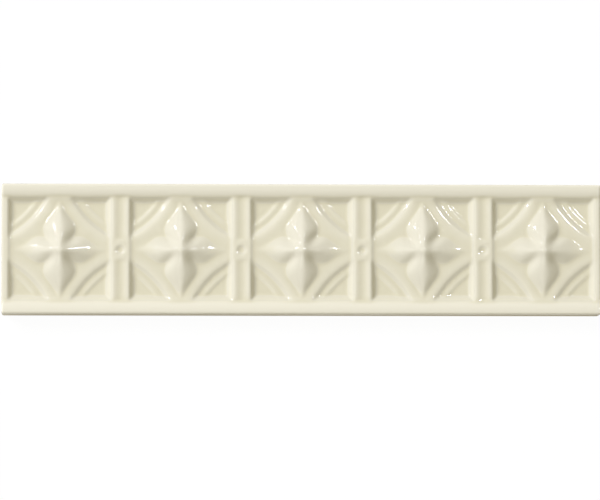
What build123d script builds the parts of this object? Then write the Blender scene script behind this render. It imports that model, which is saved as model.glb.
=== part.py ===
from build123d import *
import os
from math import hypot, sqrt

# Glazed relief border tile: one pressed and fired ceramic piece, in millimetres.
# The tile lies on its flat back, face up. X runs along its length, Y across it, Z out of its face.
# The origin is at the middle of the back. Two rails run along the long edges. Between them lies a
# sunk field with a row of square pockets. Each pocket holds a raised ground with four hollow sides,
# which leaves the corners sunk, and on that ground a four-petalled star. A low curved rib crosses
# each sunk corner. A fluted divider with a dimpled boss stands between neighbouring pockets.

# Whole tile
TILE_LENGTH = 200.0
TILE_WIDTH = 43.4
RAIL_HEIGHT = 9.9  # back to the flat tops of the rails; the stars stand higher
EDGE_RADIUS = 0.8  # rounded outer edge of the rails
END_RADIUS = 0.6  # rounded edge of the two ends
BACK_CHAMFER = 0.4  # worn arris round the back

# Rails and the field between them
RAIL_WIDTH = 1.3  # outer edge to the inner edge of the rail's flat top
RAIL_SLOPE_RUN = 3.05  # rounded slope down to the field
RAIL_SLOPE_DROP = 0.7

# Row of pockets
PANEL_COUNT = 5
DIVIDER_WIDTH = 5.8
END_RIB_WIDTH = 2.0
POCKET_DEPTH = 1.8  # field to the sunk corners
POCKET_WALL_RUN = 1.7  # draft of the pocket's walls, in plan

# Divider: a shallow flute each side of a boss
DIVIDER_RIB_WIDTH = 0.7  # thin rib left each side of the flute
FLUTE_DEPTH = 0.3
FLUTE_END_LAND = 0.3  # flat left between the flute and the rail's slope
BOSS_LENGTH = 7.0
DIMPLE_DIAMETER = 3.2
DIMPLE_DEPTH = 0.45

# Raised ground: hollow sides, and aprons that sweep up to the middles of the pocket's sides
GROUND_RISE = 1.1
GROUND_ARC_RADIUS = 27.0  # foot of each hollow side
GROUND_END_OFFSET = 5.5  # hollow side's end from the middle of the pocket's side
GROUND_EDGE_RUN = 2.4  # draft of the hollow sides, in plan, foot to top
APRON_START = 13.5  # distance from the pocket's middle
RAIL_APRON_RISE = 0.6  # towards the two rails
DIVIDER_APRON_RISE = 0.15  # towards the two dividers

# Star: four ridged petals on the ground, the two towards the rails broader than the other two
STAR_RISE = 3.4  # ground to apex
PETAL_CENTRE_HALF_WIDTH = 3.4
PETAL_WAIST_REACH = 3.6  # where neighbouring petals part
PETAL_BELLY_REACH = 7.4  # where a petal is widest
PETAL_BELLY_HALF_WIDTH = 5.3
PETAL_SHOULDER_HALF_WIDTH = 2.8  # halfway from the belly to the tip
PETAL_TIP_HALF_WIDTH = 0.3
PETAL_TIP_RISE = 0.3
PETAL_BULGE = 0.1  # swell of a petal's two faces, as a share of their chord
SIDE_PETAL_SHARE = 0.86  # width of the petals towards the dividers, against the other two
RAIL_RIDGE_POWER = 1.05  # over 1, the ridge bows upwards on its way down from the apex to the tip
SIDE_RIDGE_POWER = 0.9  # under 1, it sags

# Low rib across each sunk corner, along the ground's hollow side
CORNER_RIB_SPACING = 1.2  # foot of the hollow side to the rib's middle line
CORNER_RIB_WIDTH = 2.0
CORNER_RIB_RISE = 0.35

SEAT = 0.6  # how far raised work is carried into the floor and walls behind it

FIELD_HEIGHT = RAIL_HEIGHT - RAIL_SLOPE_DROP
FLOOR_HEIGHT = FIELD_HEIGHT - POCKET_DEPTH
GROUND_HEIGHT = FLOOR_HEIGHT + GROUND_RISE
POCKET_WIDTH = (TILE_LENGTH - 2 * END_RIB_WIDTH - (PANEL_COUNT - 1) * DIVIDER_WIDTH) / PANEL_COUNT
POCKET_HEIGHT = TILE_WIDTH - 2 * (RAIL_WIDTH + RAIL_SLOPE_RUN)
PANEL_PITCH = POCKET_WIDTH + DIVIDER_WIDTH
FLOOR_HALF_X = POCKET_WIDTH / 2 - POCKET_WALL_RUN
FLOOR_HALF_Y = POCKET_HEIGHT / 2 - POCKET_WALL_RUN
GROUND_HALF_X = FLOOR_HALF_X + POCKET_WALL_RUN * GROUND_RISE / POCKET_DEPTH
GROUND_HALF_Y = FLOOR_HALF_Y + POCKET_WALL_RUN * GROUND_RISE / POCKET_DEPTH
FLUTE_WIDTH = DIVIDER_WIDTH - 2 * DIVIDER_RIB_WIDTH


def row(count: int, pitch: float) -> list[float]:
    """Places along X of evenly spaced things, centred on the tile."""
    return [(index - (count - 1) / 2) * pitch for index in range(count)]


def four_corners(shape: Part) -> list[Part]:
    """A shape in the +X +Y corner of a pocket, and its mirror images in the other three."""
    pair = [shape, shape.mirror(Plane.YZ)]
    return pair + [each.mirror(Plane.XZ) for each in pair]


def cap_radius(width: float, rise: float) -> float:
    """Radius of the circle of which a cap this wide and this high is cut."""
    return ((width / 2) ** 2 + rise**2) / (2 * rise)


def blank() -> Part:
    """Moulded bar: flat back, two rails with rounded outer edges, and the field sunk between them."""
    half = TILE_WIDTH / 2
    rail = half - RAIL_WIDTH
    field = POCKET_HEIGHT / 2
    outside = Polyline(
        (rail, RAIL_HEIGHT),
        (half, RAIL_HEIGHT),
        (half, 0),
        (-half, 0),
        (-half, RAIL_HEIGHT),
        (-rail, RAIL_HEIGHT),
    )
    slope = TangentArc((-rail, RAIL_HEIGHT), (-field, FIELD_HEIGHT), tangent=(1, 0))
    level = Line((-field, FIELD_HEIGHT), (field, FIELD_HEIGHT))
    far_slope = TangentArc((rail, RAIL_HEIGHT), (field, FIELD_HEIGHT), tangent=(-1, 0))
    section = make_face([*outside.edges(), slope, level, far_slope])
    bar = extrude(Plane.YZ * section, amount=TILE_LENGTH / 2, both=True)
    long_edges = bar.edges().filter_by(lambda edge: edge.center().Z > FIELD_HEIGHT).filter_by(Axis.X)
    bar = fillet([edge for edge in long_edges if abs(edge.center().Y) > half - RAIL_WIDTH / 2], EDGE_RADIUS)
    ends = bar.faces().filter_by(Axis.X).edges()
    bar = fillet([edge for edge in ends if edge.center().Z > FIELD_HEIGHT - EDGE_RADIUS], END_RADIUS)
    return chamfer(bar.faces().sort_by(Axis.Z)[0].edges(), BACK_CHAMFER)


def pocket(grow: float = 0.0) -> Part:
    """Sunk panel with drafted walls, at the origin; grow moves its four walls outwards."""
    mouth = Plane.XY.offset(FIELD_HEIGHT) * Rectangle(POCKET_WIDTH + 2 * grow, POCKET_HEIGHT + 2 * grow)
    floor = Plane.XY.offset(FLOOR_HEIGHT) * Rectangle(2 * (FLOOR_HALF_X + grow), 2 * (FLOOR_HALF_Y + grow))
    return loft([floor, mouth])


def room() -> Part:
    """Space that raised work may fill: the pocket, and a seat behind its walls and under its floor."""
    seat = Pos(0, 0, FLOOR_HEIGHT - SEAT / 2) * Box(POCKET_WIDTH, POCKET_HEIGHT, SEAT)
    return pocket(grow=SEAT) + seat


def arc_centre() -> tuple[float, float]:
    """Centre of the hollow side's arc, beyond the corner at +X +Y, from its two ends and its radius."""
    rail_end = (GROUND_END_OFFSET, POCKET_HEIGHT / 2)
    divider_end = (POCKET_WIDTH / 2, GROUND_END_OFFSET)
    run_x = divider_end[0] - rail_end[0]
    run_y = divider_end[1] - rail_end[1]
    chord = hypot(run_x, run_y)
    height = sqrt(GROUND_ARC_RADIUS**2 - (chord / 2) ** 2)
    middle_x = (rail_end[0] + divider_end[0]) / 2
    middle_y = (rail_end[1] + divider_end[1]) / 2
    return middle_x - run_y / chord * height, middle_y + run_x / chord * height


def apron(reach: float, rise: float, width: float) -> Part:
    """Ground along X through the pocket's middle, level and then swept up at both ends, and this wide."""
    end = reach + SEAT
    depth = GROUND_RISE + SEAT
    sweep = TangentArc((APRON_START, 0), (reach, rise), tangent=(1, 0))
    rest = Polyline((reach, rise), (end, rise), (end, -depth), (0, -depth), (0, 0), (APRON_START, 0))
    section = Plane.XZ.offset(-width / 2) * make_face([sweep, *rest.edges()])
    half = Pos(0, 0, GROUND_HEIGHT) * extrude(section, amount=width)
    return half + half.mirror(Plane.YZ)


def ground() -> Part:
    """Raised ground in the middle of a pocket, with the four corners cut away along hollow sides."""
    to_dividers = apron(POCKET_WIDTH / 2, DIVIDER_APRON_RISE, POCKET_HEIGHT)
    to_rails = Rot(0, 0, 90) * apron(POCKET_HEIGHT / 2, RAIL_APRON_RISE, POCKET_WIDTH)
    draft = GROUND_EDGE_RUN / GROUND_RISE
    bottom_radius = GROUND_ARC_RADIUS - draft * SEAT
    top_radius = GROUND_ARC_RADIUS + draft * POCKET_DEPTH
    cone = Cone(bottom_radius, top_radius, POCKET_DEPTH + SEAT, align=(Align.CENTER, Align.CENTER, Align.MIN))
    corner = Pos(*arc_centre(), FLOOR_HEIGHT - SEAT) * cone
    return ((to_dividers + to_rails) & room()).cut(*four_corners(corner))


def petal_section(reach: float, half_width: float, rise: float) -> Sketch:
    """Ridged section across a petal that points along +X, seated below the ground."""
    plane = Plane(origin=(reach, 0, GROUND_HEIGHT), x_dir=(0, 1, 0), z_dir=(1, 0, 0))
    swell_x = half_width / 2 + PETAL_BULGE * rise
    swell_y = rise / 2 + PETAL_BULGE * half_width
    base = Polyline((-half_width, 0), (-half_width, -SEAT), (half_width, -SEAT), (half_width, 0))
    right = ThreePointArc((half_width, 0), (swell_x, swell_y), (0, rise))
    left = ThreePointArc((0, rise), (-swell_x, swell_y), (-half_width, 0))
    return plane * make_face([*base.edges(), right, left])


def petal(wall_reach: float, width_share: float, ridge_power: float) -> Part:
    """One petal along +X, from the star's middle to a tip seated in the pocket's wall."""
    tip_reach = wall_reach + SEAT
    shoulder_reach = (PETAL_BELLY_REACH + tip_reach) / 2
    half_widths = {
        0: PETAL_CENTRE_HALF_WIDTH,
        PETAL_WAIST_REACH: PETAL_WAIST_REACH,
        PETAL_BELLY_REACH: PETAL_BELLY_HALF_WIDTH,
        shoulder_reach: PETAL_SHOULDER_HALF_WIDTH,
        tip_reach: PETAL_TIP_HALF_WIDTH,
    }
    sections = []
    for reach, half_width in half_widths.items():
        fall = (STAR_RISE - PETAL_TIP_RISE) * (reach / tip_reach) ** ridge_power
        sections.append(petal_section(reach, half_width * width_share, STAR_RISE - fall))
    return loft(sections)


def star() -> Part:
    """Four petals that meet at the middle of a pocket."""
    to_divider = petal(GROUND_HALF_X, SIDE_PETAL_SHARE, SIDE_RIDGE_POWER)
    to_rail = Rot(0, 0, 90) * petal(GROUND_HALF_Y, 1.0, RAIL_RIDGE_POWER)
    half_turn = Rot(0, 0, 180)
    return to_divider.fuse(to_rail, half_turn * to_divider, half_turn * to_rail)


def corner_rib() -> Part:
    """Low round-topped rib across the +X +Y corner, its ends seated in the pocket's walls."""
    radius = GROUND_ARC_RADIUS - CORNER_RIB_SPACING
    half = CORNER_RIB_WIDTH / 2
    inner = (radius - half, 0)
    outer = (radius + half, 0)
    base = Polyline(inner, (radius - half, -SEAT), (radius + half, -SEAT), outer)
    crown = ThreePointArc(outer, (radius, CORNER_RIB_RISE), inner)
    section = Plane.XZ * make_face([*base.edges(), crown])
    ring = Pos(*arc_centre(), FLOOR_HEIGHT) * revolve(section, Axis.Z)
    reach_x = POCKET_WIDTH / 2
    reach_y = POCKET_HEIGHT / 2
    quarter = Pos(reach_x, reach_y, FLOOR_HEIGHT) * Box(2 * reach_x, 2 * reach_y, 2 * RAIL_HEIGHT)
    return ring & room() & quarter


def divider_cuts() -> list[Part]:
    """Two flutes and the boss's dimple, at the middle of a divider."""
    flute_radius = cap_radius(FLUTE_WIDTH, FLUTE_DEPTH)
    flute_start = BOSS_LENGTH / 2
    flute_length = POCKET_HEIGHT / 2 - FLUTE_END_LAND - flute_start
    flute_axis = FIELD_HEIGHT - FLUTE_DEPTH + flute_radius
    flute = Rot(90, 0, 0) * Cylinder(flute_radius, flute_length)
    flute_middle = flute_start + flute_length / 2
    dimple_radius = cap_radius(DIMPLE_DIAMETER, DIMPLE_DEPTH)
    dimple = Pos(0, 0, FIELD_HEIGHT - DIMPLE_DEPTH + dimple_radius) * Sphere(dimple_radius)
    return [Pos(0, side * flute_middle, flute_axis) * flute for side in (-1, 1)] + [dimple]


def relief_tile() -> Part:
    """The whole tile: pockets, flutes and dimples sunk into the blank, then the relief raised."""
    tile = blank()
    tile = tile.cut(*[Pos(x, 0, 0) * pocket() for x in row(PANEL_COUNT, PANEL_PITCH)])
    for x in row(PANEL_COUNT - 1, PANEL_PITCH):
        tile = tile.cut(*[Pos(x, 0, 0) * cut for cut in divider_cuts()])
    relief = ground().fuse(star(), *four_corners(corner_rib()))
    for x in row(PANEL_COUNT, PANEL_PITCH):
        tile = tile.fuse(Pos(x, 0, 0) * relief)
    return tile


if __name__ == "__main__":
    os.makedirs("parts", exist_ok=True)
    export_step(relief_tile(), "parts/relief_tile.step")
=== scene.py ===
import logging
import math
from dataclasses import dataclass
from enum import Enum
from typing import Union

import bpy
from mathutils import Matrix, Vector


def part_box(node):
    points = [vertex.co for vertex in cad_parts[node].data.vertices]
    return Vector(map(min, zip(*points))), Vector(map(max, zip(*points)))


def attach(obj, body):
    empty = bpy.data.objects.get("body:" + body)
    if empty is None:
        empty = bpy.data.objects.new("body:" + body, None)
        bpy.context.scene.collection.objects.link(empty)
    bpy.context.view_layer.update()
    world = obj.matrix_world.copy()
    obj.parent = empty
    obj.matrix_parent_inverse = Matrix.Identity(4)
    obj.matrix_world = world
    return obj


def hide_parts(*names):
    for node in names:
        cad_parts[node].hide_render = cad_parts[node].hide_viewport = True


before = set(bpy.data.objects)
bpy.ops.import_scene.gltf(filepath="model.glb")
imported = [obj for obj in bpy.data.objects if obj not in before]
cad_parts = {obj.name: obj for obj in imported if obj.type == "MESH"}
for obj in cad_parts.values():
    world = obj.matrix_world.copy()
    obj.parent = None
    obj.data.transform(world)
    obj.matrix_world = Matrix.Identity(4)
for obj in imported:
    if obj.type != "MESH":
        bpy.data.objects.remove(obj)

LOG = logging.getLogger("relief_tile")
MM = 0.001  # the tile's sizes are in millimetres, the scene is in metres
TINY = 1e-6  # keeps a quotient from dividing by nothing

Number = Union[float, "Field"]
Colour = tuple[float, float, float]
Paint = Union[Colour, bpy.types.NodeSocket]
Span = tuple[float, float]  # where a change begins and where it ends
Profile = tuple[tuple[float, float], ...]  # places, rising, each with a height or a breadth
Sizes = dict[str, "Field"]


class Step(Enum):
    """Arithmetic that a field can go through."""

    ADD = "ADD"
    SUBTRACT = "SUBTRACT"
    MULTIPLY = "MULTIPLY"
    DIVIDE = "DIVIDE"
    POWER = "POWER"
    SQUARE_ROOT = "SQRT"
    ABSOLUTE = "ABSOLUTE"
    SIGN = "SIGN"
    LEAST = "MINIMUM"
    MOST = "MAXIMUM"
    SOFT_LEAST = "SMOOTH_MIN"
    SOFT_MOST = "SMOOTH_MAX"
    WRAP = "WRAP"
    EQUAL = "COMPARE"


class Field:
    """A number that varies over the tile, carried by one socket of a node tree."""

    def __init__(self, tree: bpy.types.NodeTree, socket: bpy.types.NodeSocket) -> None:
        """Wraps a socket.

        Args:
            tree: the node tree that the socket belongs to.
            socket: the output that carries the number.
        """
        self.tree = tree
        self.socket = socket

    def step(self, kind: Step, *others: Number) -> "Field":
        """Puts the field and other values through one arithmetic node.

        Args:
            kind: the arithmetic to do.
            *others: the node's further inputs, fields or plain numbers.

        Returns:
            The node's result.
        """
        node = self.tree.nodes.new("ShaderNodeMath")
        node.operation = kind.value
        for socket, value in zip(node.inputs, (self, *others)):
            feed(self.tree, socket, value)
        return Field(self.tree, node.outputs[0])

    def __add__(self, other: Number) -> "Field":
        """Sum with another value."""
        return self.step(Step.ADD, other)

    def __sub__(self, other: Number) -> "Field":
        """Difference from another value."""
        return self.step(Step.SUBTRACT, other)

    def __mul__(self, other: Number) -> "Field":
        """Product with another value."""
        return self.step(Step.MULTIPLY, other)

    def __truediv__(self, other: Number) -> "Field":
        """Quotient by another value."""
        return self.step(Step.DIVIDE, other)

    def taken_from(self, other: Number) -> "Field":
        """Another value less this field."""
        return (self * -1.0) + other

    def squared(self) -> "Field":
        """The field times itself."""
        return self * self

    def root(self) -> "Field":
        """Square root of the field."""
        return self.step(Step.SQUARE_ROOT)

    def size(self) -> "Field":
        """The field without its sign."""
        return self.step(Step.ABSOLUTE)

    def at_least(self, other: Number, soft: float = 0.0) -> "Field":
        """The larger of the field and another value.

        Args:
            other: the value to stay above.
            soft: height over which the two are blended, 0 for a hard crease.

        Returns:
            The larger value.
        """
        return self.step(Step.SOFT_MOST, other, soft) if soft else self.step(Step.MOST, other)

    def at_most(self, other: Number, soft: float = 0.0) -> "Field":
        """The smaller of the field and another value.

        Args:
            other: the value to stay below.
            soft: height over which the two are blended, 0 for a hard crease.

        Returns:
            The smaller value.
        """
        return self.step(Step.SOFT_LEAST, other, soft) if soft else self.step(Step.LEAST, other)

    def eased(self, start: Number, end: Number, low: Number = 0.0, high: Number = 1.0) -> "Field":
        """An S-shaped change from low to high as the field goes from start to end.

        Args:
            start: the field's value where the change begins.
            end: the field's value where the change ends.
            low: the result before start.
            high: the result after end.

        Returns:
            The eased value.
        """
        node = self.tree.nodes.new("ShaderNodeMapRange")
        node.interpolation_type = "SMOOTHSTEP"
        for socket, value in zip(node.inputs, (self, start, end, low, high)):
            feed(self.tree, socket, value)
        return Field(self.tree, node.outputs[0])

    def faded(self, start: Number, end: Number) -> "Field":
        """An S-shaped fall from 1 to 0 as the field goes from start to end."""
        return self.eased(start, end, 1.0, 0.0)

    def profile(self, points: Profile) -> "Field":
        """The height of a drawn profile at the field's value.

        Args:
            points: places and heights along the profile.

        Returns:
            The smooth profile's height.
        """
        first, last = points[0][0], points[-1][0]
        tallest = max(height for _, height in points)
        node = self.tree.nodes.new("ShaderNodeFloatCurve")
        curve = node.mapping.curves[0]
        for index, (place, height) in enumerate(points):
            spot = ((place - first) / (last - first), height / tallest)
            if index == 0:
                curve.points[0].location = spot
            elif index == len(points) - 1:
                curve.points[len(curve.points) - 1].location = spot
            else:
                curve.points.new(*spot)
        node.mapping.update()
        feed(self.tree, node.inputs["Value"], (self - first) / (last - first))
        return Field(self.tree, node.outputs[0]) * tallest

    def softened(self, passes: int) -> "Field":
        """The field averaged with its neighbours on the mesh, as molten glaze rounds what it covers.

        Args:
            passes: how many times each point takes its neighbours' average.

        Returns:
            The softened field.
        """
        blur = self.tree.nodes.new("GeometryNodeBlurAttribute")
        blur.inputs["Iterations"].default_value = passes
        feed(self.tree, blur.inputs[0], self)
        return Field(self.tree, blur.outputs[0])


@dataclass(frozen=True)
class Grain:
    """A fine random pattern."""

    scale: float  # cells to one unit of the place that it reads
    detail: float  # octaves of finer cells

    def over(self, tree: bpy.types.NodeTree, place: bpy.types.NodeSocket) -> Field:
        """Spreads the pattern over a surface.

        Args:
            tree: the node tree to add it to.
            place: the coordinates to read.

        Returns:
            The pattern's value, from 0 to 1.
        """
        node = tree.nodes.new("ShaderNodeTexNoise")
        node.inputs["Scale"].default_value = self.scale
        node.inputs["Detail"].default_value = self.detail
        tree.links.new(place, node.inputs["Vector"])
        return Field(tree, node.outputs[0])


def feed(tree: bpy.types.NodeTree, socket: bpy.types.NodeSocket, value: Number) -> None:
    """Gives a node's input a field or a plain number.

    Args:
        tree: the tree that the socket belongs to.
        socket: the input to feed.
        value: what goes into it.
    """
    if isinstance(value, Field):
        tree.links.new(value.socket, socket)
    else:
        socket.default_value = value


def split(tree: bpy.types.NodeTree, place: bpy.types.NodeSocket) -> tuple[Field, Field, Field]:
    """Splits a place or a direction into its numbers.

    Args:
        tree: the tree to work in.
        place: the socket that carries it.

    Returns:
        Its X, Y and Z.
    """
    node = tree.nodes.new("ShaderNodeSeparateXYZ")
    tree.links.new(place, node.inputs[0])
    x, y, z = (Field(tree, output) for output in node.outputs)
    return x, y, z


def joined(tree: bpy.types.NodeTree, x: Number, y: Number, z: Number = 0.0) -> bpy.types.NodeSocket:
    """Joins numbers to a place.

    Args:
        tree: the tree to work in.
        x: the place's X.
        y: the place's Y.
        z: the place's Z.

    Returns:
        The socket that carries the place.
    """
    node = tree.nodes.new("ShaderNodeCombineXYZ")
    for socket, value in zip(node.inputs, (x, y, z)):
        feed(tree, socket, value)
    return node.outputs[0]


def mixed(tree: bpy.types.NodeTree, share: Field, first: Paint, second: Paint) -> bpy.types.NodeSocket:
    """Mixes two colours.

    Args:
        tree: the material's tree.
        share: how much of the second colour.
        first: the colour at 0, written out or from a socket.
        second: the colour at 1, written out or from a socket.

    Returns:
        The socket that carries the mixed colour.
    """
    node = tree.nodes.new("ShaderNodeMix")
    node.data_type = "RGBA"
    feed(tree, node.inputs["Factor"], share)
    for name, paint in (("A", first), ("B", second)):
        if isinstance(paint, bpy.types.NodeSocket):
            tree.links.new(paint, node.inputs[name])
        else:
            node.inputs[name].default_value = (*paint, 1.0)
    return node.outputs["Result"]


@dataclass(frozen=True)
class GlazeFinish:
    """Glossy cream glaze over a pale fired body. It is yellower and darker in hollows and low parts,
    partly where glaze pools and partly as painted shade, and darker on steep faces as painted shade.

    Lengths are in metres. Steepness is 0 on a level face and 1 on an upright one.
    """

    even: Colour = (0.90, 0.875, 0.745)
    # colour of hollows and low parts: thicker glaze there, and painted shade as well
    pooled_and_shaded: Colour = (0.785, 0.752, 0.58)
    # painted shade: a darker colour for steep faces, which holds back the brightness that light gives
    # them
    steep_shade: Colour = (0.81, 0.785, 0.66)
    body: Colour = (0.86, 0.80, 0.64)
    body_speckle: float = 0.9  # shade of the body's speckles, next to its colour
    roughness: float = 0.1
    body_roughness: float = 0.85
    refraction: float = 1.5

    pool_and_shade_attribute: str = "glaze_pool_and_shade"
    steep_attribute: str = "glaze_steep"
    hollow_passes: int = 30  # softening that shows up the face's hollows
    hollow_depth: float = 0.5 * MM  # a hollow this far below the softened face is full
    low_pool_and_shade: float = 0.7  # pooling and painted shade on all that lies lower than the rails
    low_zone: Span = (9.1 * MM, 9.8 * MM)
    floor_pool_and_shade: float = 0.15  # further pooling and painted shade on the pockets' floors
    floor_zone: Span = (7.4 * MM, 8.4 * MM)
    rail_zone: Span = (16.9 * MM, 17.5 * MM)  # from the middle line, outside which no painted steep shade is laid
    steep_shade_zone: Span = (0.01, 0.07)  # steepness at which the painted steep shade begins
    wall_zone: Span = (0.15, 0.35)  # steepness of walls, where the painted steep shade ends again
    steep_pool_loss: float = 0.75  # how much of the pooling and painted shade of hollows a face with painted steep shade loses
    pool_and_shade_zone: Span = (-0.1, 1.2)  # how far pooling and painted shade carry the colour from the even one to the deeper one
    mottle: Grain = Grain(260.0, 4.0)
    mottle_swing: float = 0.24  # how far the pooling varies by chance

    glaze_line: float = 8.2 * MM  # mean height on the sides at which the glaze ends
    line_waver: float = 2.4 * MM  # how far that line wanders
    line_softness: float = 0.15 * MM
    waver: Grain = Grain(90.0, 3.0)
    side_zone: Span = (-0.3 * MM, -0.2 * MM)  # from the outer sides, where a face counts as a side
    back_zone: Span = (1.0 * MM, 2.0 * MM)  # height below which a face belongs to the back
    speckle: Grain = Grain(1500.0, 2.0)
    grain_depth: float = 0.06 * MM
    grain_strength: float = 0.6

    def material(self, half_length: float, half_width: float) -> bpy.types.Material:
        """Builds the node material.

        Args:
            half_length: the tile's ends from its middle.
            half_width: the tile's long sides from its middle.

        Returns:
            The finished material.
        """
        material = bpy.data.materials.new("cream_glaze")
        material.use_nodes = True
        tree = material.node_tree
        shader = tree.nodes["Principled BSDF"]
        place = tree.nodes.new("ShaderNodeTexCoord").outputs["Object"]
        bare = self._bare(tree, place, half_length, half_width)
        speckle = self.speckle.over(tree, place)

        shade = tuple(self.body_speckle * channel for channel in self.body)
        colour = mixed(tree, bare, self._glaze(tree, place), mixed(tree, speckle, self.body, shade))
        tree.links.new(colour, shader.inputs["Base Color"])
        roughness = bare * (self.body_roughness - self.roughness) + self.roughness
        feed(tree, shader.inputs["Roughness"], roughness)
        shader.inputs["IOR"].default_value = self.refraction

        grain = tree.nodes.new("ShaderNodeBump")
        grain.inputs["Distance"].default_value = self.grain_depth
        feed(tree, grain.inputs["Strength"], bare * self.grain_strength)
        feed(tree, grain.inputs["Height"], speckle)
        tree.links.new(grain.outputs["Normal"], shader.inputs["Normal"])
        return material

    def _glaze(self, tree: bpy.types.NodeTree, place: bpy.types.NodeSocket) -> bpy.types.NodeSocket:
        """Colour of the glaze, from how hollow and how steep the face is, with painted shade in hollows
        and on steep faces.

        Args:
            tree: the material's tree.
            place: the tile's own coordinates.

        Returns:
            The socket that carries the colour.
        """
        pool_and_shade = self._attribute(tree, self.pool_and_shade_attribute)
        steep = self._attribute(tree, self.steep_attribute)
        # painted shade: steep faces take the darker colour, upright walls do not
        steep_shading = steep.eased(*self.steep_shade_zone) * steep.faded(*self.wall_zone)
        mottled = self.mottle.over(tree, place) * self.mottle_swing - self.mottle_swing / 2
        # pooling and painted shade in hollows and low parts, less of it on steep faces
        depth = pool_and_shade * (steep_shading * self.steep_pool_loss).taken_from(1.0) + mottled
        even_or_steep_shade = mixed(tree, steep_shading, self.even, self.steep_shade)
        return mixed(tree, depth.eased(*self.pool_and_shade_zone), even_or_steep_shade, self.pooled_and_shaded)

    def _bare(
        self,
        tree: bpy.types.NodeTree,
        place: bpy.types.NodeSocket,
        half_length: float,
        half_width: float,
    ) -> Field:
        """Where the body is bare: on the sides below a wavering line, and on the back.

        Args:
            tree: the material's tree.
            place: the tile's own coordinates.
            half_length: the tile's ends from its middle.
            half_width: the tile's long sides from its middle.

        Returns:
            1 on the bare body, 0 on the glaze.
        """
        x, y, z = split(tree, place)
        line = self.glaze_line + self.line_waver / 2
        height = z + self.waver.over(tree, place) * self.line_waver
        below_line = height.faded(line - self.line_softness, line + self.line_softness)
        outside = (x.size() - half_length).at_least(y.size() - half_width)
        return below_line * outside.eased(*self.side_zone).at_least(z.faded(*self.back_zone))

    @staticmethod
    def _attribute(tree: bpy.types.NodeTree, name: str) -> Field:
        """Reads a number that the mesh carries.

        Args:
            tree: the material's tree.
            name: the attribute's name.

        Returns:
            The attribute's value.
        """
        node = tree.nodes.new("ShaderNodeAttribute")
        node.attribute_name = name
        return Field(tree, node.outputs["Fac"])


@dataclass(frozen=True)
class FloorFinish:
    """White studio floor that shows the tile's soft shadow."""

    albedo: float = 0.8
    shadow_share: float = 0.04  # part of its white that the tile can shade
    lit_level: float = 0.8  # how bright the lamps make that part

    def material(self) -> bpy.types.Material:
        """Builds the node material: white to the eye and to reflections, plain and pale to other light.

        Seen from underneath it is clear, so that the tile's back can be looked at.

        Returns:
            The finished material.
        """
        material = bpy.data.materials.new("studio_white")
        material.use_nodes = True
        tree = material.node_tree
        tree.nodes.remove(tree.nodes["Principled BSDF"])
        path = tree.nodes.new("ShaderNodeLightPath")
        seen = Field(tree, path.outputs["Is Camera Ray"])
        for ray in ("Is Glossy Ray", "Is Transmission Ray"):
            seen = seen.at_least(Field(tree, path.outputs[ray]))

        glow = tree.nodes.new("ShaderNodeEmission")
        glow.inputs["Strength"].default_value = 1.0 - self.lit_level * self.shadow_share
        white = tree.nodes.new("ShaderNodeAddShader")
        tree.links.new(self._matt(tree, self.shadow_share), white.inputs[0])
        tree.links.new(glow.outputs[0], white.inputs[1])
        above = self._either(tree, seen.socket, self._matt(tree, self.albedo), white.outputs[0])
        underneath = tree.nodes.new("ShaderNodeNewGeometry").outputs["Backfacing"]
        clear = tree.nodes.new("ShaderNodeBsdfTransparent").outputs[0]
        surface = self._either(tree, underneath, above, clear)
        tree.links.new(surface, tree.nodes["Material Output"].inputs["Surface"])
        return material

    @staticmethod
    def _matt(tree: bpy.types.NodeTree, level: float) -> bpy.types.NodeSocket:
        """A matt grey.

        Args:
            tree: the material's tree.
            level: how pale it is, from 0 to 1.

        Returns:
            The socket that carries the shader.
        """
        node = tree.nodes.new("ShaderNodeBsdfDiffuse")
        node.inputs["Color"].default_value = (level, level, level, 1.0)
        return node.outputs[0]

    @staticmethod
    def _either(
        tree: bpy.types.NodeTree,
        share: bpy.types.NodeSocket,
        first: bpy.types.NodeSocket,
        second: bpy.types.NodeSocket,
    ) -> bpy.types.NodeSocket:
        """Chooses between two shaders.

        Args:
            tree: the material's tree.
            share: 0 for the first shader, 1 for the second.
            first: the first shader.
            second: the second shader.

        Returns:
            The socket that carries the chosen shader.
        """
        node = tree.nodes.new("ShaderNodeMixShader")
        for socket, source in zip(node.inputs, (share, first, second)):
            tree.links.new(source, socket)
        return node.outputs[0]


@dataclass(frozen=True)
class Spot:
    """Where a point of the face lies, in millimetres."""

    x: Field  # along the tile, from its middle
    y: Field  # across the tile, from its middle line
    across: Field  # distance along the tile from the panel's middle
    up: Field  # distance from the tile's middle line
    from_row: Field  # distance from the line that the stars and bosses stand on


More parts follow.
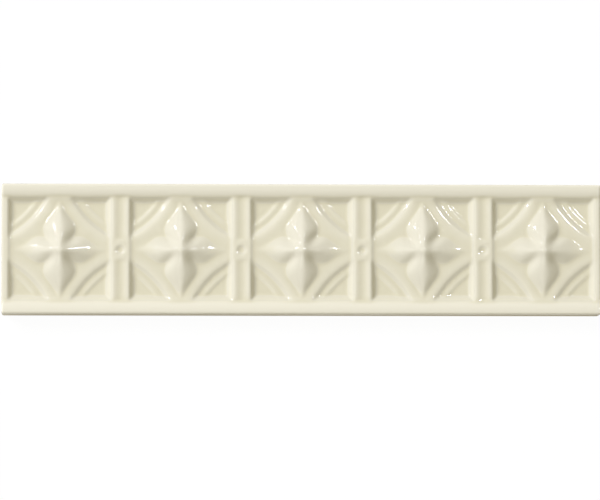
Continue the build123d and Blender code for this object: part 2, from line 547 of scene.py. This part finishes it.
@dataclass(frozen=True)
class Dividers:
    """Bars between the pockets, each with a flute along it and a dimpled boss half way.

    Sizes are in millimetres.
    """

    flute_depth: float = 0.3
    flute_zone: Span = (0.2, 2.3)  # bottom and brim of the flute, from the bar's middle
    flute_end: float = 0.8  # half the run over which the flute dies away at a rail
    boss_half: float = 3.5
    boss_end: float = 0.6  # half the run over which the flute dies away at the boss
    dimple_radius: float = 1.6
    dimple_depth: float = 0.45
    dimple_fullness: float = 1.15  # over 1 carries the bowl a little past its radius and depth
    dimple_rounding: float = 0.25
    plain_end: Span = (4.0, 2.5)  # from the tile's ends, where hollows give way to a plain rib

    def sizes(self) -> dict[str, float]:
        """Named inputs of the tile's rule that belong to the dividers.

        Returns:
            Each input's name and value.
        """
        return {
            "Flute Depth": self.flute_depth,
            "Boss Half Length": self.boss_half,
            "Dimple Radius": self.dimple_radius,
            "Dimple Depth": self.dimple_depth,
        }

    def hollows(self, spot: Spot, size: Sizes) -> Field:
        """How far flutes and dimples sink into the bars.

        Args:
            spot: the point of the face.
            size: the rule's named sizes.

        Returns:
            The depth, zero outside the hollows.
        """
        boss, rail = size["Boss Half Length"], size["Pocket Half Width"]
        from_middle = spot.across.taken_from(size["Panel Pitch"] * 0.5)
        flute = from_middle.faded(*self.flute_zone)
        flute = flute * spot.from_row.eased(boss - self.boss_end, boss + self.boss_end)
        flute = flute * spot.up.faded(rail - self.flute_end, rail + self.flute_end)
        reach = (from_middle.squared() + spot.from_row.squared()) / size["Dimple Radius"].squared()
        dimple = reach.taken_from(self.dimple_fullness).at_least(0.0, self.dimple_rounding)
        start, end = (size["Tile Length"] * 0.5 - distance for distance in self.plain_end)
        sunk = flute * size["Flute Depth"] + dimple * size["Dimple Depth"]
        return sunk * spot.x.size().faded(start, end)


@dataclass(frozen=True)
class CornerRibs:
    """Curved ribs across a pocket's corners, and the raised ground inside them.

    Sizes are in millimetres. The ribs run round a centre outside each corner.
    """

    centre_x: float = 29.6
    centre_y: float = 29.9
    section: Profile = (  # distance from that centre, height above the pocket's floor
        (24.0, 0.0),
        (24.8, 0.02),
        (25.5, 0.22),
        (26.2, 0.40),
        (26.9, 0.36),
        (27.5, 0.33),
        (28.1, 0.48),
        (28.8, 0.82),
        (29.5, 1.04),
        (30.3, 1.12),
        (32.0, 1.09),
        (36.0, 1.10),
        (42.5, 1.12),
    )
    apron_start: float = 13.5  # from the panel's middle, where the ground begins to rise to the walls
    rail_apron_rise: float = 0.6
    divider_apron_rise: float = 0.15
    apron_zone: Span = (27.8, 29.4)  # distance from that centre at which the rise sets in

    def sizes(self) -> dict[str, float]:
        """Named inputs of the tile's rule that belong to the ribs.

        Returns:
            Each input's name and value.
        """
        return {
            "Rib Centre X": self.centre_x,
            "Rib Centre Y": self.centre_y,
            "Apron Start": self.apron_start,
            "Rail Apron Rise": self.rail_apron_rise,
            "Divider Apron Rise": self.divider_apron_rise,
        }

    def height(self, spot: Spot, size: Sizes) -> Field:
        """Height of ribs and ground.

        Args:
            spot: the point of the face.
            size: the rule's named sizes.

        Returns:
            Height above the pocket's floor.
        """
        aside_x, aside_y = spot.across - size["Rib Centre X"], spot.up - size["Rib Centre Y"]
        reach = (aside_x.squared() + aside_y.squared()).root()
        start = size["Apron Start"]
        to_rail = (spot.up - start).at_least(0.0) / (size["Pocket Half Width"] - start)
        to_divider = (spot.across - start).at_least(0.0) / (size["Pocket Half Length"] - start)
        aprons = (to_rail.squared() * size["Rail Apron Rise"]).at_least(
            to_divider.squared() * size["Divider Apron Rise"]
        )
        return reach.profile(self.section) + aprons * reach.eased(*self.apron_zone)


@dataclass(frozen=True)
class Star:
    """Four ridged petals that meet at an apex, the two towards the rails broader than the others.

    Sizes are in millimetres. Places in the profiles are distances from the apex along a petal.
    """

    rail_ridge: Profile = (
        (0.0, 3.76),
        (4.0, 3.15),
        (9.0, 2.05),
        (14.0, 1.0),
        (17.0, 0.5),
        (18.5, 0.4),
        (28.0, 0.3),
    )
    divider_ridge: Profile = (
        (0.0, 3.76),
        (1.0, 3.65),
        (2.0, 3.4),
        (4.0, 2.85),
        (7.0, 1.95),
        (10.0, 1.15),
        (12.0, 0.8),
        (14.0, 0.6),
        (17.0, 0.42),
        (18.5, 0.4),
        (28.0, 0.3),
    )
    half_breadth: Profile = (
        (0.0, 4.0),
        (2.0, 4.05),
        (3.4, 4.4),
        (5.0, 5.3),
        (6.3, 5.95),
        (7.4, 6.1),
        (8.7, 5.65),
        (11.0, 4.0),
        (13.9, 1.9),
        (16.0, 1.1),
        (18.0, 0.5),
        (28.0, 0.3),
    )
    divider_share: float = 0.86  # breadth of the petals towards the dividers, next to the others
    swell: float = 1.65  # of the petals' faces, from 1 for flat to 2 for round
    valley_rounding: float = 1.6
    skirt: float = -0.8  # where the faces end below the ground, before they are softened
    softening: int = 12
    seat: float = 0.4  # how far the softened star is sunk into the ground
    foot_rounding: float = 0.5

    def height(self, spot: Spot) -> Field:
        """Height of the star.

        Args:
            spot: the point of the face.

        Returns:
            Height above the ground, zero outside the star.
        """
        to_rails = self._petals(spot.from_row, spot.across, self.rail_ridge)
        to_dividers = self._petals(spot.across, spot.from_row / self.divider_share, self.divider_ridge)
        petals = to_dividers.at_least(to_rails, self.valley_rounding).at_least(self.skirt)
        return (petals.softened(self.softening) - self.seat).at_least(0.0, self.foot_rounding)

    def _petals(self, along: Field, aside: Field, ridge: Profile) -> Field:
        """A pair of petals along one axis: a ridge that falls to the tips, with swollen faces.

        Args:
            along: distance from the apex along the ridge.
            aside: distance from the ridge.
            ridge: the ridge's heights.

        Returns:
            Height above the ground, below zero outside the petals.
        """
        share = aside / along.profile(self.half_breadth)
        return share.step(Step.POWER, self.swell).taken_from(1.0) * along.profile(ridge)


@dataclass(frozen=True)
class ReliefTile:
    """The fired tile: its face follows a rule for heights, its sides drop straight to a flat back.

    Sizes are in millimetres.
    """

    length: float
    width: float
    rail_height: float = 9.9
    edge_radius: float = 0.7
    rail_inner: float = 20.4  # inner edge of a rail's flat top, from the tile's middle line
    field_height: float = 9.05  # top of the pockets' walls, where the rails' slopes end
    pocket_half_x: float = 17.28
    pocket_half_y: float = 17.35
    panel_pitch: float = 40.36
    wall_run: float = 1.8
    floor_height: float = 7.4
    middle_drop: float = 0.3  # the stars and bosses sit this far below the tile's middle line
    back_chamfer: float = 0.4
    dividers: Dividers = Dividers()
    ribs: CornerRibs = CornerRibs()
    star: Star = Star()

    lip_rounding: float = 0.25  # where the pockets' walls meet the frame's top
    corner_rounding: float = 0.6  # where two walls meet
    foot_rounding: float = 1.2  # where the walls meet the ground
    glaze_softening: int = 2
    ripple: Grain = Grain(0.5, 1.0)
    ripple_height: float = 0.05  # from its lowest points to its highest
    ripple_sink: float = 0.03  # how deep its lowest points are

    columns: int = 640
    rows: int = 140
    fine_lines: int = 6  # grid lines that close up towards each outer edge
    side_levels: tuple[float, ...] = (7.0, 4.5, 2.2)  # heights of the lines round the sides
    seam: float = 0.001  # points of sides and back that are closer than this are one

    def sizes(self) -> dict[str, float]:
        """The rule's named inputs.

        Returns:
            Each input's name and value.
        """
        return {
            "Tile Length": self.length,
            "Tile Width": self.width,
            "Rail Height": self.rail_height,
            "Edge Radius": self.edge_radius,
            "Rail Inner Edge": self.rail_inner,
            "Field Height": self.field_height,
            "Pocket Half Length": self.pocket_half_x,
            "Pocket Half Width": self.pocket_half_y,
            "Panel Pitch": self.panel_pitch,
            "Wall Run": self.wall_run,
            "Floor Height": self.floor_height,
            "Middle Drop": self.middle_drop,
            "Back Chamfer": self.back_chamfer,
            **self.dividers.sizes(),
            **self.ribs.sizes(),
        }

    def build(self, finish: GlazeFinish) -> bpy.types.Object:
        """Makes the tile as a plain mesh object at the origin.

        Args:
            finish: the glaze that covers it.

        Returns:
            The finished piece.
        """
        tree = self._tree(finish)
        piece = bpy.data.objects.new("relief_tile_glazed", bpy.data.meshes.new("relief_tile_rule"))
        bpy.context.scene.collection.objects.link(piece)
        modifier = piece.modifiers.new("face_rule", "NODES")
        modifier.node_group = tree
        values = self.sizes()
        for item in tree.interface.items_tree:
            if item.in_out == "INPUT":
                modifier[item.identifier] = values[item.name]
        evaluated = piece.evaluated_get(bpy.context.evaluated_depsgraph_get())
        mesh = bpy.data.meshes.new_from_object(evaluated)
        piece.modifiers.remove(modifier)
        piece.data = mesh
        mesh.name = "relief_tile_glazed"
        return piece

    def _tree(self, finish: GlazeFinish) -> bpy.types.NodeTree:
        """Builds the geometry rule: face, sides and back.

        Args:
            finish: the glaze that the surface gets.

        Returns:
            The node tree.
        """
        tree = bpy.data.node_groups.new("relief_tile_rule", "GeometryNodeTree")
        tree.interface.new_socket("Tile", in_out="OUTPUT", socket_type="NodeSocketGeometry")
        for name in self.sizes():
            tree.interface.new_socket(name, in_out="INPUT", socket_type="NodeSocketFloat")
        entry = tree.nodes.new("NodeGroupInput")
        size = {name: Field(tree, entry.outputs[name]) for name in self.sizes()}

        grid = tree.nodes.new("GeometryNodeMeshGrid")
        for name, count in (("X", self.columns), ("Y", self.rows)):
            grid.inputs[f"Size {name}"].default_value = count - 1
            grid.inputs[f"Vertices {name}"].default_value = count
        column, row, _ = split(tree, self._position(tree))
        x, from_end = self._grid_line(column, self.columns, size["Tile Length"])
        y, from_side = self._grid_line(row, self.rows, size["Tile Width"])

        radius = size["Edge Radius"]
        over_x = (from_end / radius).taken_from(1.0).at_least(0.0)
        over_y = (from_side / radius).taken_from(1.0).at_least(0.0)
        over = over_x.at_least(over_y)
        pull = (over / ((over_x.squared() + over_y.squared()).root() + TINY)).taken_from(1.0)
        drop = (over.squared().taken_from(1.0).at_least(0.0).root()).taken_from(1.0) * radius
        inset_x = x.step(Step.SIGN) * over_x * pull * radius
        inset_y = y.step(Step.SIGN) * over_y * pull * radius
        height = self._height(x, y, size) - drop

        face = self._node(tree, "GeometryNodeSetPosition", grid.outputs["Mesh"])
        place = joined(tree, (x - inset_x) * MM, (y - inset_y) * MM, height * MM)
        tree.links.new(place, face.inputs["Position"])
        self._close(tree, self._pooling_and_shade(tree, face, finish), size, finish)
        return tree

    def _grid_line(self, index: Field, count: int, extent: Field) -> tuple[Field, Field]:
        """Places the grid's lines: evenly spaced, and closing up over the last few at each outer edge.

        Args:
            index: the line's number, counted from the middle.
            count: how many lines there are.
            extent: the tile's size across the lines.

        Returns:
            The line's place, and its distance from the nearer outer edge.
        """
        half_count = (count - 1) / 2
        pitch = extent / (2.0 * (half_count - self.fine_lines / 2))
        number = index.size().taken_from(half_count)
        fine = number.at_most(float(self.fine_lines)).squared() * (0.5 / self.fine_lines)
        even = (number - float(self.fine_lines)).at_least(0.0)
        from_edge = (fine + even) * pitch
        return index.step(Step.SIGN) * (extent * 0.5 - from_edge), from_edge

    def _height(self, x: Field, y: Field, size: Sizes) -> Field:
        """Height of the face above the back.

        Args:
            x: place along the tile.
            y: place across it.
            size: the rule's named sizes.

        Returns:
            The height, before the outer edges are rounded.
        """
        half_pitch = size["Panel Pitch"] * 0.5
        across = x.step(Step.WRAP, half_pitch, half_pitch * -1.0).size()
        spot = Spot(x, y, across, y.size(), (y + size["Middle Drop"]).size())
        frame_top = self._rails(spot, size) - self.dividers.hollows(spot, size)
        top = size["Field Height"]
        slope = (top - size["Floor Height"]) / size["Wall Run"]
        end_wall = top - (size["Pocket Half Length"] - spot.across) * slope
        side_wall = top - (size["Pocket Half Width"] - spot.up) * slope
        walls = end_wall.at_least(side_wall, self.corner_rounding)
        ground = self.ribs.height(spot, size) + size["Floor Height"]
        pocket = ground.at_least(walls, self.foot_rounding)
        moulded = frame_top.at_most(pocket, self.lip_rounding).softened(self.glaze_softening)
        star = self.star.height(spot).softened(self.glaze_softening)
        return moulded + star + self._ripple(spot)

    @staticmethod
    def _rails(spot: Spot, size: Sizes) -> Field:
        """The rails and their inner slopes, with a level field between them.

        Args:
            spot: the point of the face.
            size: the rule's named sizes.

        Returns:
            The frame's height, before hollows and pockets are sunk.
        """
        edge = size["Rail Inner Edge"]
        inside = spot.up.taken_from(edge) / (edge - size["Pocket Half Width"])
        drop = size["Rail Height"] - size["Field Height"]
        return size["Rail Height"] - inside.at_least(0.0).at_most(1.0).squared() * drop

    def _ripple(self, spot: Spot) -> Field:
        """Faint unevenness with which the molten glaze set.

        Args:
            spot: the point of the face.

        Returns:
            Height to add to the face.
        """
        tree = spot.x.tree
        pattern = self.ripple.over(tree, joined(tree, spot.x, spot.y))
        return pattern * self.ripple_height - self.ripple_sink

    def _pooling_and_shade(
        self,
        tree: bpy.types.NodeTree,
        face: bpy.types.Node,
        finish: GlazeFinish,
    ) -> bpy.types.Node:
        """Stores how hollow and how steep the face is, for the glaze's pooling and for its painted
        shade.

        Args:
            tree: the rule's tree.
            face: the node that holds the shaped face.
            finish: the glaze, which names the attributes.

        Returns:
            The node that holds the face with its attributes.
        """
        _, y, level = split(tree, self._position(tree))
        # how hollow and how low the face lies, which darkens it partly as pooling and partly as painted
        # shade
        hollow = (level.softened(finish.hollow_passes) - level) / finish.hollow_depth
        hollow = hollow + level.eased(*finish.low_zone, finish.low_pool_and_shade, 0.0)
        hollow = hollow + level.eased(*finish.floor_zone, finish.floor_pool_and_shade, 0.0)
        _, _, upward = split(tree, tree.nodes.new("GeometryNodeInputNormal").outputs[0])
        steep = upward.taken_from(1.0) * y.size().faded(*finish.rail_zone)
        for name, value in ((finish.pool_and_shade_attribute, hollow), (finish.steep_attribute, steep)):
            face = self._node(tree, "GeometryNodeStoreNamedAttribute", face.outputs["Geometry"])
            face.data_type = "FLOAT"
            face.inputs["Name"].default_value = name
            feed(tree, face.inputs["Value"], value)
        return face

    def _close(
        self,
        tree: bpy.types.NodeTree,
        face: bpy.types.Node,
        size: Sizes,
        finish: GlazeFinish,
    ) -> None:
        """Drops the sides from the face's rim, turns in a small chamfer and closes the back.

        Args:
            tree: the rule's tree.
            face: the node that holds the face.
            size: the rule's named sizes.
            finish: the glaze that the surface gets.
        """
        links = tree.links
        chamfer = size["Back Chamfer"]
        extents = (size["Tile Length"], size["Tile Width"])
        shrunk = ((chamfer * 2.0 / extent).taken_from(1.0) for extent in extents)
        lines = [(level, 1.0, 1.0) for level in (*self.side_levels, chamfer)]
        neighbours = tree.nodes.new("GeometryNodeInputMeshEdgeNeighbors").outputs["Face Count"]
        rim_faces, tolerance = 1.0, 0.1
        edges = Field(tree, neighbours).step(Step.EQUAL, rim_faces, tolerance).socket
        shape = face
        for level, share_x, share_y in (*lines, (0.0, *shrunk)):
            wall = self._node(tree, "GeometryNodeExtrudeMesh", shape.outputs[0], "Mesh")
            wall.mode = "EDGES"
            wall.inputs["Offset Scale"].default_value = 0.0
            links.new(edges, wall.inputs["Selection"])
            edges = wall.outputs["Top"]
            shape = self._node(tree, "GeometryNodeSetPosition", wall.outputs["Mesh"])
            links.new(edges, shape.inputs["Selection"])
            x, y, _ = split(tree, self._position(tree))
            links.new(joined(tree, x * share_x, y * share_y, level * MM), shape.inputs["Position"])

        smooth = self._node(tree, "GeometryNodeSetShadeSmooth", shape.outputs["Geometry"])
        arris = tree.nodes.new("FunctionNodeBooleanMath")
        arris.operation = "NOT"
        links.new(wall.outputs["Side"], arris.inputs[0])
        links.new(arris.outputs[0], smooth.inputs["Shade Smooth"])

        outline = self._node(tree, "GeometryNodeMeshToCurve", shape.outputs["Geometry"], "Mesh")
        links.new(edges, outline.inputs["Selection"])
        back = self._node(tree, "GeometryNodeFillCurve", outline.outputs["Curve"], "Curve")
        back.mode = "NGONS"
        turned = self._node(tree, "GeometryNodeFlipFaces", back.outputs["Mesh"], "Mesh")
        flat = self._node(tree, "GeometryNodeSetShadeSmooth", turned.outputs["Mesh"])
        flat.inputs["Shade Smooth"].default_value = False
        whole = tree.nodes.new("GeometryNodeJoinGeometry")
        links.new(flat.outputs["Geometry"], whole.inputs[0])
        links.new(smooth.outputs["Geometry"], whole.inputs[0])
        sealed = self._node(tree, "GeometryNodeMergeByDistance", whole.outputs["Geometry"])
        sealed.inputs["Distance"].default_value = self.seam * MM
        real = self._node(tree, "GeometryNodeRealizeInstances", sealed.outputs["Geometry"])
        dressed = self._node(tree, "GeometryNodeSetMaterial", real.outputs["Geometry"])
        glaze = finish.material(self.length * MM / 2, self.width * MM / 2)
        dressed.inputs["Material"].default_value = glaze
        links.new(dressed.outputs["Geometry"], tree.nodes.new("NodeGroupOutput").inputs[0])

    @staticmethod
    def _position(tree: bpy.types.NodeTree) -> bpy.types.NodeSocket:
        """The place of each point of the mesh."""
        return tree.nodes.new("GeometryNodeInputPosition").outputs[0]

    @staticmethod
    def _node(
        tree: bpy.types.NodeTree,
        kind: str,
        shape: bpy.types.NodeSocket,
        socket: str = "Geometry",
    ) -> bpy.types.Node:
        """Adds a geometry node and feeds it a shape.

        Args:
            tree: the rule's tree.
            kind: the node's type.
            shape: the shape that goes in.
            socket: the input that takes it.

        Returns:
            The new node.
        """
        node = tree.nodes.new(kind)
        tree.links.new(shape, node.inputs[socket])
        return node


class LampUse(Enum):
    """What a lamp does for the tile."""

    LIGHT = "lights it, and isn't mirrored in the glaze"
    GLINT = "is mirrored in the glaze, and doesn't light it"


@dataclass(frozen=True)
class StudioLamp:
    """A square soft lamp aimed at the tile, with lengths in metres and power in watts."""

    name: str
    direction: tuple[float, float, float]  # from the tile to the lamp
    distance: float
    side: float
    power: float
    use: LampUse
    colour: Colour = (1.0, 1.015, 1.11)

    def hang(self) -> bpy.types.Object:
        """Adds the lamp.

        Returns:
            The lamp's object.
        """
        data = bpy.data.lights.new(self.name, "AREA")
        data.shape = "SQUARE"
        data.size = self.side
        data.energy = self.power
        data.color = self.colour
        lamp = bpy.data.objects.new(self.name, data)
        lamp.visible_glossy = self.use is LampUse.GLINT
        lamp.visible_diffuse = self.use is LampUse.LIGHT
        lamp.location = Vector(self.direction).normalized() * self.distance
        lamp.rotation_euler = Vector(self.direction).to_track_quat("Z", "Y").to_euler()
        bpy.context.scene.collection.objects.link(lamp)
        return lamp


STUDIO_LAMPS = (
    StudioLamp(
        name="window_lamp",
        direction=(-0.585, 0.365, 0.724),
        distance=4.0,
        side=1.3,
        power=143.0,
        use=LampUse.LIGHT,
    ),
    StudioLamp(
        name="left_glint_lamp",
        direction=(-0.56, 0.43, 0.71),
        distance=1.2,
        side=0.08,
        power=1.2,
        use=LampUse.GLINT,
    ),
    StudioLamp(
        name="right_glint_lamp",
        direction=(0.413, 0.293, 0.863),
        distance=1.2,
        side=0.12,
        power=2.3,
        use=LampUse.GLINT,
    ),
)


@dataclass(frozen=True)
class Surroundings:
    """Even warm light from all sides."""

    colour: Colour = (1.0, 0.91, 0.62)
    strength: float = 0.30

    def fill(self) -> bpy.types.World:
        """Lights the scene with it.

        Returns:
            The scene's new world.
        """
        world = bpy.data.worlds.new("studio_surroundings")
        world.use_nodes = True
        background = world.node_tree.nodes["Background"]
        background.inputs["Color"].default_value = (*self.colour, 1.0)
        background.inputs["Strength"].default_value = self.strength
        bpy.context.scene.world = world
        return world


@dataclass(frozen=True)
class StudioFloor:
    """The square floor that the tile lies on, in metres."""

    half: float = 3.0
    level: float = -0.1 * MM  # just clear of the tile's back

    def lay(self, finish: FloorFinish) -> bpy.types.Object:
        """Lays the floor under the tile.

        Args:
            finish: what the floor looks like.

        Returns:
            The floor's object.
        """
        mesh = bpy.data.meshes.new("studio_floor")
        quarters = ((-1, -1), (1, -1), (1, 1), (-1, 1))
        corners = [(x * self.half, y * self.half, self.level) for x, y in quarters]
        mesh.from_pydata(corners, [], [(0, 1, 2, 3)])
        mesh.materials.append(finish.material())
        floor = bpy.data.objects.new("studio_floor", mesh)
        bpy.context.scene.collection.objects.link(floor)
        return floor


@dataclass(frozen=True)
class TopCamera:
    """Camera that looks down on the tile, a little from the side of its lower long edge."""

    distance: float = 1.5
    tilt: float = math.radians(4.5)  # towards the lower long edge
    swing: float = math.radians(2.6)  # towards the left end
    roll: float = math.radians(0.12)
    aim: tuple[float, float, float] = (-0.00055, 0.0, 0.0055)
    view_width: float = 0.2004  # width of the picture at the aim
    sensor: float = 36.0
    nearest: float = 0.01  # nothing closer than this is seen

    def place(self) -> bpy.types.Object:
        """Adds the camera and makes it the scene's own.

        Returns:
            The camera's object.
        """
        data = bpy.data.cameras.new("top_camera")
        data.sensor_fit = "HORIZONTAL"
        data.sensor_width = self.sensor
        data.lens = self.sensor * self.distance / self.view_width
        data.clip_start = self.nearest
        data.dof.use_dof = False
        camera = bpy.data.objects.new("top_camera", data)
        turn = Matrix.Rotation(self.tilt, 4, "X") @ Matrix.Rotation(-self.swing, 4, "Y")
        turn = turn @ Matrix.Rotation(self.roll, 4, "Z")
        back = turn.to_3x3() @ Vector((0.0, 0.0, 1.0))
        camera.matrix_world = Matrix.Translation(Vector(self.aim) + back * self.distance) @ turn
        bpy.context.scene.collection.objects.link(camera)
        bpy.context.scene.camera = camera
        return camera


def main() -> None:
    """Builds camera, light, floor and tile, and reports each piece."""
    logging.basicConfig(level=logging.INFO, format="%(name)s: %(message)s")
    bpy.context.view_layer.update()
    TopCamera().place()
    bpy.context.scene.view_settings.view_transform = "Standard"
    for lamp in STUDIO_LAMPS:
        lamp.hang()
        LOG.info("lamp %s", lamp.name)
    Surroundings().fill()
    StudioFloor().lay(FloorFinish())

    low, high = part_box("relief_tile")
    length, width = ((high[axis] - low[axis]) / MM for axis in range(2))
    tile = ReliefTile(length, width).build(GlazeFinish())
    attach(tile, "root")
    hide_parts("relief_tile")
    LOG.info("piece %s: %d faces", tile.name, len(tile.data.polygons))


if __name__ == "__main__":
    main()
